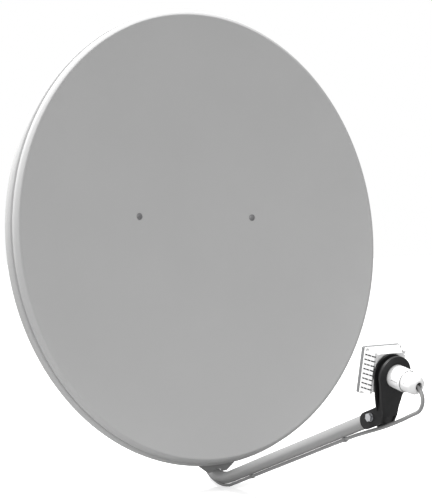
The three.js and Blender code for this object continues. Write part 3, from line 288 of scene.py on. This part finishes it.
DISH_COAT = powder_coat("dish_coat", (0.445, 0.445, 0.445), 0.5)
ARM_COAT = powder_coat("arm_coat", (0.3, 0.3, 0.3), 0.34, 0.00005)
SADDLE_COAT = powder_coat("saddle_coat", (0.24, 0.24, 0.24), 0.5)
ZINC_PLATE = plated("zinc_plate", (0.56, 0.58, 0.60), 0.42)
ZINC_BOLT = plated("zinc_bolt", (0.62, 0.63, 0.65), 0.33, 90)
FACE_BOLT = plated("face_bolt", (0.27, 0.27, 0.275), 0.5, 90)
NICKEL = plated("nickel", (0.62, 0.58, 0.50), 0.26, 120)
CASTING = plated("casting", (0.45, 0.46, 0.47), 0.5, 150)
BLACK_PLASTIC = moulded("black_plastic", (0.012, 0.012, 0.0125), 0.55, 0.00006, Specular_IOR_Level=0.3)
WHITE_PLASTIC = moulded("white_plastic", (0.86, 0.86, 0.86), 0.33, 0.00002, Coat_Weight=0.1)
# painted shade: the white plastic is darkened by ambient occlusion in the housing's slots and grooves
painted_groove_shade(WHITE_PLASTIC, 0.005, 0.1)
GREY_PLASTIC = moulded("grey_plastic", (0.19, 0.193, 0.196), 0.45)
CLIP_PLASTIC = moulded("clip_plastic", (0.22, 0.22, 0.22), 0.45)
NYLON = moulded("nylon", (0.72, 0.72, 0.70), 0.45)
BOARD_GREEN = moulded("board_green", (0.03, 0.11, 0.05), 0.4)
LEAD_PVC = jacket("lead_pvc", (0.25, 0.25, 0.25))


# ---- Mesh tools ----
def piece(name, points, faces, place, finish, smooth):
    """A new mesh object whose millimetre points are put in place in metres."""
    mesh = bpy.data.meshes.new(name)
    mesh.from_pydata([place @ Vector(p) for p in points], [], faces)
    mesh.validate()
    mesh.update()
    made = bpy.data.objects.new(name, mesh)
    bpy.context.scene.collection.objects.link(made)
    mesh.materials.append(finish)
    soften(made, smooth)
    return made


def soften(made, angle):
    """Smooth shading that keeps edges sharper than an angle."""
    mesh = made.data
    mesh.polygons.foreach_set("use_smooth", [True] * len(mesh.polygons))
    mesh.set_sharp_from_angle(angle=math.radians(angle))


def settle(made, body, slot, *stands_for):
    """Rides on a body and stands for CAD nodes. The slot is not used."""
    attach(made, body)
    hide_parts(*stands_for)


def rings_mesh(rings, closed=False):
    """Points and faces of a skin over rings of equal count. Closed joins the last ring to the
    first. Otherwise the first and last rings are capped."""
    count = len(rings[0])
    points = [p for ring in rings for p in ring]
    spans = len(rings) if closed else len(rings) - 1
    faces = []
    for r in range(spans):
        a = r * count
        b = (r + 1) % len(rings) * count
        for i in range(count):
            j = (i + 1) % count
            faces.append((a + i, a + j, b + j, b + i))
    if not closed:
        faces.append(tuple(reversed(range(count))))
        last = (len(rings) - 1) * count
        faces.append(tuple(range(last, last + count)))
    return points, faces


def smooth_line(points, steps):
    """A Catmull-Rom line through points, with so many steps in each stretch."""
    points = [Vector(p) for p in points]
    last = len(points) - 1
    out = []
    for i in range(last):
        p0, p1, p2, p3 = (points[min(max(i + k, 0), last)] for k in (-1, 0, 1, 2))
        for step in range(steps):
            t = step / steps
            out.append(0.5 * (2 * p1 + (p2 - p0) * t + (2 * p0 - 5 * p1 + 4 * p2 - p3) * t * t
                              + (3 * p1 - p0 - 3 * p2 + p3) * t * t * t))
    out.append(points[-1])
    return out


def sweep(line, radius, sides=24, bore=0.0):
    """Points and faces of a round tube along a line, with rings square to it."""
    line = [Vector(p) for p in line]
    side = Vector((1, 0, 0))
    outer, inner = [], []
    for i, p in enumerate(line):
        ahead = line[min(i + 1, len(line) - 1)] - line[max(i - 1, 0)]
        ahead.normalize()
        side = (side - ahead * side.dot(ahead)).normalized()
        up = ahead.cross(side)
        turn = [2 * math.pi * k / sides for k in range(sides)]
        outer.append([p + radius * (side * math.cos(a) + up * math.sin(a)) for a in turn])
        if bore:
            inner.append([p + bore * (side * math.cos(a) + up * math.sin(a)) for a in turn])
    if bore:
        return rings_mesh(outer + inner[::-1], closed=True)
    return rings_mesh(outer)


WELD_WITHIN = 0.00001  # metres
FLAT_WITHIN = math.radians(1.2)  # facets this close to one plane become one face
EDGE_ANGLE = math.radians(35)  # sharper edges are rounded


def dress(name, finish, edge):
    """A CAD node that keeps its shape: it gets a finish, and edges rounded by so many millimetres."""
    node = nodes[name]
    node.data.materials.clear()
    node.data.materials.append(finish)
    if "custom_normal" in node.data.attributes:
        node.data.attributes.remove(node.data.attributes["custom_normal"])
    node.data.polygons.foreach_set("use_smooth", [True] * len(node.data.polygons))
    weld = node.modifiers.new("weld", "WELD")
    weld.merge_threshold = WELD_WITHIN
    flat = node.modifiers.new("flat", "DECIMATE")
    flat.decimate_type = "DISSOLVE"
    flat.angle_limit = FLAT_WITHIN
    bevel = node.modifiers.new("edges", "BEVEL")
    bevel.width = edge * MM
    bevel.segments = 2
    bevel.limit_method = "ANGLE"
    bevel.angle_limit = EDGE_ANGLE
    bevel.harden_normals = True


# ---- Reflector ----
def face_ring(share, back, steps):
    ring = []
    for i in range(steps):
        angle = 2 * math.pi * i / steps
        x = share * HALF_WIDTH * math.cos(angle)
        z = share * HALF_HEIGHT * math.sin(angle)
        ring.append((x, face_depth(x, z) + back, z))
    return ring


def rim_ring(out, back, steps):
    ring = []
    for i in range(steps):
        angle = 2 * math.pi * i / steps
        normal = Vector((math.cos(angle) / HALF_WIDTH, math.sin(angle) / HALF_HEIGHT)).normalized()
        ring.append((
            HALF_WIDTH * math.cos(angle) + normal.x * out,
            back,
            HALF_HEIGHT * math.sin(angle) + normal.y * out,
        ))
    return ring


def rim_profile():
    """Two rolled beads with a groove between them and the return flange, as (out, back)."""
    w, d = RIM_WIDTH, RIM_DEPTH
    beads = [(-2.2, 0.5), (-0.6, 0.1), (1.2, 0.3), (w * 0.25, d * 0.06), (w * 0.45, d * 0.14),
             (w * 0.54, d * 0.24), (w * 0.53, d * 0.36),
             (w * 0.4, d * 0.47), (w * 0.42, d * 0.53), (w * 0.66, d * 0.55), (w * 0.92, d * 0.68),
             (w, d * 0.84), (w * 0.93, d * 0.97), (w * 0.82, d), (w * 0.6, d), (w * 0.94 - RIM_FLANGE, d)]
    return smooth_line(beads, 5)


def add_reflector():
    steps = 192
    shares = [0.02] + [k / 26 for k in range(1, 26)] + [0.985, 0.991]
    outside = rim_profile()
    inside = []
    for i, p in enumerate(outside):
        along = (outside[min(i + 1, len(outside) - 1)] - outside[max(i - 1, 0)]).normalized()
        inside.append(Vector((p.x - along.y * SHEET, p.y + along.x * SHEET)))
    start = next(i for i, p in enumerate(inside) if p.x > SHEET)
    front = [face_ring(share, 0, steps) for share in shares]
    front += [rim_ring(p.x, p.y, steps) for p in outside]
    back = [rim_ring(p.x, p.y, steps) for p in reversed(inside[start:])]
    back += [face_ring(share, SHEET, steps) for share in reversed(shares)]
    points, faces = rings_mesh(front + back)
    dish = piece("reflector_shell", points, faces, DISH, DISH_COAT, smooth=50)
    settle(dish, "dish", "dish_coat", "reflector")


add_reflector()


# ---- Feed arm ----
def in_plane(ahead, height):
    return Vector((0, -ahead, height))


RIM_LOW = -(HALF_HEIGHT + RIM_WIDTH)
BOLT_AHEAD = FEED_REACH - HOLDER_BOLT_BACK * math.cos(FEED_DIP) - HOLDER_BOLT_DROP * math.sin(FEED_DIP)
BOLT_HEIGHT = -FEED_DROP + HOLDER_BOLT_BACK * math.sin(FEED_DIP) - HOLDER_BOLT_DROP * math.cos(FEED_DIP)
BEND_AHEAD = ARM_BEND - ARM_STANDOFF
BEND_HEIGHT = RIM_LOW - ARM_UNDER_RIM - ARM_RADIUS + ARM_BEND
to_bolt = Vector((BOLT_AHEAD - BEND_AHEAD, BOLT_HEIGHT - BEND_HEIGHT))
ARM_RISE = math.atan2(to_bolt.y, to_bolt.x) + math.asin(ARM_BEND / to_bolt.length)


def bend_points(radius, steps):
    start = -math.pi / 2 + ARM_RISE
    out = []
    for i in range(steps + 1):
        angle = start + (-math.pi - start) * i / steps
        out.append(in_plane(BEND_AHEAD + radius * math.cos(angle), BEND_HEIGHT + radius * math.sin(angle)))
    return out


def beside_arm(along, above):
    return in_plane(
        BOLT_AHEAD + along * math.cos(ARM_RISE) - above * math.sin(ARM_RISE),
        BOLT_HEIGHT + along * math.sin(ARM_RISE) + above * math.cos(ARM_RISE),
    )


def add_feed_arm():
    line = [beside_arm(ARM_PAST_BOLT, 0), beside_arm(-150, 0), beside_arm(-300, 0)]
    line += bend_points(ARM_BEND, 40)
    line += [in_plane(-ARM_STANDOFF, height) for height in (-250, -100, ARM_TOP)]
    points, faces = sweep(line, ARM_RADIUS, 48, ARM_RADIUS - ARM_WALL)
    arm = piece("feed_arm_tube", points, faces, DISH, ARM_COAT, smooth=50)
    settle(arm, "dish", "arm_coat", "feed_arm")


add_feed_arm()


# ---- Coax lead ----
def lead_route():
    """The lead's line, in the dish's millimetres: plug, loop, arm, bend, coil and tail."""
    def out(back, below=0.0):
        return in_plane(
            FEED_REACH + back * math.cos(FEED_DIP) - below * math.sin(FEED_DIP),
            -FEED_DROP - back * math.sin(FEED_DIP) - below * math.cos(FEED_DIP),
        )

    loop_radius = 24.5
    loop_start = 45.5
    loop_end = math.radians(143)
    loop_turns = 12
    line = [out(PLUG_END + 0.3), out(40), out(loop_start)]
    for i in range(1, loop_turns + 1):
        angle = loop_end * i / loop_turns
        line.append(out(loop_start + loop_radius * math.sin(angle), loop_radius * (1 - math.cos(angle))))
    line.append(beside_arm(76, -LEAD_OFFSET - 3.4))
    line.append(beside_arm(54, -LEAD_OFFSET - 4.6))
    line.append(beside_arm(17, -LEAD_OFFSET - 4.9))
    line.append(beside_arm(-20, -LEAD_OFFSET - 3.2))
    line.append(beside_arm(-58, -LEAD_OFFSET - 1))
    line.append(beside_arm(-90, -LEAD_OFFSET))
    line.append(beside_arm(-190, -LEAD_OFFSET))
    line.append(beside_arm(-290, -LEAD_OFFSET))
    line.append(beside_arm(-400, -LEAD_OFFSET))
    line += bend_points(ARM_BEND + LEAD_OFFSET, 14)
    line.append(in_plane(-ARM_STANDOFF - LEAD_OFFSET, COIL_HEIGHT - 60))
    line.append(in_plane(-ARM_STANDOFF - LEAD_OFFSET, TAIL_TOP))
    return line


def coil_route():
    """Turns of the spare lead: out from the climb, layer by layer, and down to the tail."""
    lead = 2 * LEAD_RADIUS
    front = ARM_STANDOFF + LEAD_OFFSET
    per_turn = 24
    radii = [COIL_RADIUS, COIL_RADIUS, COIL_RADIUS - lead, COIL_RADIUS - lead, COIL_RADIUS - lead,
             COIL_RADIUS, COIL_RADIUS]
    depths = [0, 0, 0, lead, 2 * lead, 2 * lead, 2 * lead]
    line = []
    turns = 6.5
    count = int(turns * per_turn)
    for i in range(count + 1):
        angle = 2 * math.pi * i / per_turn
        at = i / count * (len(radii) - 1)
        low = min(int(at), len(radii) - 2)
        ease = at - low
        ease = ease * ease * (3 - 2 * ease)
        radius = radii[low] + (radii[low + 1] - radii[low]) * ease
        depth = depths[low] + (depths[low + 1] - depths[low]) * ease
        line.append(Vector((
            -COIL_RADIUS + radius * math.cos(angle),
            front + depth,
            COIL_HEIGHT + radius * math.sin(angle),
        )))
    return line


def add_lead():
    """One cord from the connector in the LNB to the connector on the tail."""
    coil = coil_route()
    tail_x = -2 * COIL_RADIUS
    tail_y = coil[-1].y
    line = smooth_line(lead_route()[:4], 3)[:-1] + lead_route()[3:] + coil[1:]
    line += [Vector((tail_x, tail_y, TAIL_TOP - TAIL_LENGTH * k / 4)) for k in range(1, 5)]
    line.insert(len(line) - 4, Vector((tail_x, tail_y, TAIL_TOP + 12)))
    points, faces = sweep(smooth_line(line, 3), LEAD_RADIUS, 16)
    lead = piece("coax_cable", points, faces, DISH, LEAD_PVC, smooth=60)
    settle(lead, "dish", "lead_pvc", "coax_lead", "coax_coil", "coax_tail")


add_lead()


# ---- The rest of the frame, dressed ----
DRESSED = {
    "arm_saddle": (SADDLE_COAT, "saddle_coat", 0.7),
    "arm_cap": (BLACK_PLASTIC, "black_plastic", 0.8),
    "lnb_holder": (BLACK_PLASTIC, "black_plastic", 0.9),
    "lnb_housing": (WHITE_PLASTIC, "white_plastic", 0.6),
    "weather_cover": (WHITE_PLASTIC, "white_plastic", 0.4),
    "lnb_front_cover": (GREY_PLASTIC, "grey_plastic", 0.6),
    "feed_horn": (CASTING, "cast_aluminium", 0.4),
    "circuit_board": (BOARD_GREEN, "board", 0.2),
    "f_socket": (NICKEL, "nickel", 0.4),
    "lnb_plug": (NICKEL, "nickel", 0.4),
    "coax_plug": (NICKEL, "nickel", 0.4),
    "coil_tie": (NYLON, "tie_plastic", 0.3),
    "tilt_bracket": (ZINC_PLATE, "zinc_plate", 0.8),
    "mast_bracket": (ZINC_PLATE, "zinc_plate", 0.8),
    "clamp_jaw": (ZINC_PLATE, "zinc_plate", 0.8),
    "crossbar": (ZINC_PLATE, "zinc_plate", 0.8),
}
for name, (finish, slot_name, edge) in DRESSED.items():
    dress(name, finish, edge)
for side in ("left", "right"):
    dress("spacer_" + side, BLACK_PLASTIC, 0.6)
for name in nodes:
    if name.startswith("lead_clip"):
        dress(name, CLIP_PLASTIC, 0.2)
    elif name.startswith("back_bolt"):
        dress(name, FACE_BOLT, 0.3)
    elif "bolt" in name or "nut" in name or "screw" in name:
        dress(name, ZINC_BOLT, 0.4)


# ---- Stage and light ----
def add_stage():
    low = cad_low.z - 0.004
    mesh = bpy.data.meshes.new("floor")
    reach = 14
    mesh.from_pydata([(-reach, -reach, low), (reach, -reach, low), (reach, reach, low), (-reach, reach, low)],
                     [], [(0, 1, 2, 3)])
    floor = bpy.data.objects.new("floor", mesh)
    bpy.context.scene.collection.objects.link(floor)
    paint, tree, shader = material("floor_paint", (0.8, 0.8, 0.8), 0.9)
    shader.inputs["Emission Color"].default_value = (1, 1, 1, 1)
    shader.inputs["Emission Strength"].default_value = 0.45
    dull = tree.nodes.new("ShaderNodeBsdfDiffuse")
    dull.inputs["Color"].default_value = (0.36, 0.36, 0.36, 1)
    ray = tree.nodes.new("ShaderNodeLightPath")
    mix = tree.nodes.new("ShaderNodeMixShader")
    tree.links.new(ray.outputs["Is Camera Ray"], mix.inputs["Fac"])
    tree.links.new(dull.outputs["BSDF"], mix.inputs[1])
    tree.links.new(shader.outputs["BSDF"], mix.inputs[2])
    tree.links.new(mix.outputs["Shader"], tree.nodes["Material Output"].inputs["Surface"])
    mesh.materials.append(paint)


def add_light(name, place, aim, size, power):
    data = bpy.data.lights.new(name, "AREA")
    data.shape = "SQUARE"
    data.size = size
    data.energy = power
    light = bpy.data.objects.new(name, data)
    light.location = place
    light.rotation_euler = (Vector(place) - Vector(aim)).to_track_quat("Z", "Y").to_euler()
    bpy.context.scene.collection.objects.link(light)


def add_sky():
    """A white room: the light falls from above, and less of it comes up from below."""
    world = bpy.data.worlds.new("studio")
    bpy.context.scene.world = world
    world.use_nodes = True
    tree = world.node_tree
    tree.nodes.clear()
    place = tree.nodes.new("ShaderNodeTexCoord")
    split = tree.nodes.new("ShaderNodeSeparateXYZ")
    ramp = tree.nodes.new("ShaderNodeValToRGB")
    height = tree.nodes.new("ShaderNodeMapRange")
    height.inputs["From Min"].default_value = -1
    tree.links.new(place.outputs["Generated"], split.inputs["Vector"])
    tree.links.new(split.outputs["Z"], height.inputs["Value"])
    tree.links.new(height.outputs["Result"], ramp.inputs["Fac"])
    stops = ramp.color_ramp.elements
    stops[0].position = 0.0
    stops[0].color = (0.12, 0.12, 0.12, 1)
    stops[1].position = 1.0
    stops[1].color = (1, 1, 1, 1)
    middle = stops.new(0.5)
    middle.color = (0.75, 0.75, 0.75, 1)
    soft = tree.nodes.new("ShaderNodeBackground")
    tree.links.new(ramp.outputs["Color"], soft.inputs["Color"])
    plain = tree.nodes.new("ShaderNodeBackground")
    plain.inputs["Color"].default_value = (1, 1, 1, 1)
    ray = tree.nodes.new("ShaderNodeLightPath")
    mix = tree.nodes.new("ShaderNodeMixShader")
    out = tree.nodes.new("ShaderNodeOutputWorld")
    tree.links.new(ray.outputs["Is Camera Ray"], mix.inputs["Fac"])
    tree.links.new(soft.outputs["Background"], mix.inputs[1])
    tree.links.new(plain.outputs["Background"], mix.inputs[2])
    tree.links.new(mix.outputs["Shader"], out.inputs["Surface"])


add_stage()
add_sky()
add_light("key", (-1.4, 0.35, 3.15), (0, -0.3, 0.1), 0.9, 230)
add_light("fill", (-2.6, -3.2, 1.2), (0, -0.4, 0), 2.4, 30)
bpy.context.scene.view_settings.view_transform = "Standard"
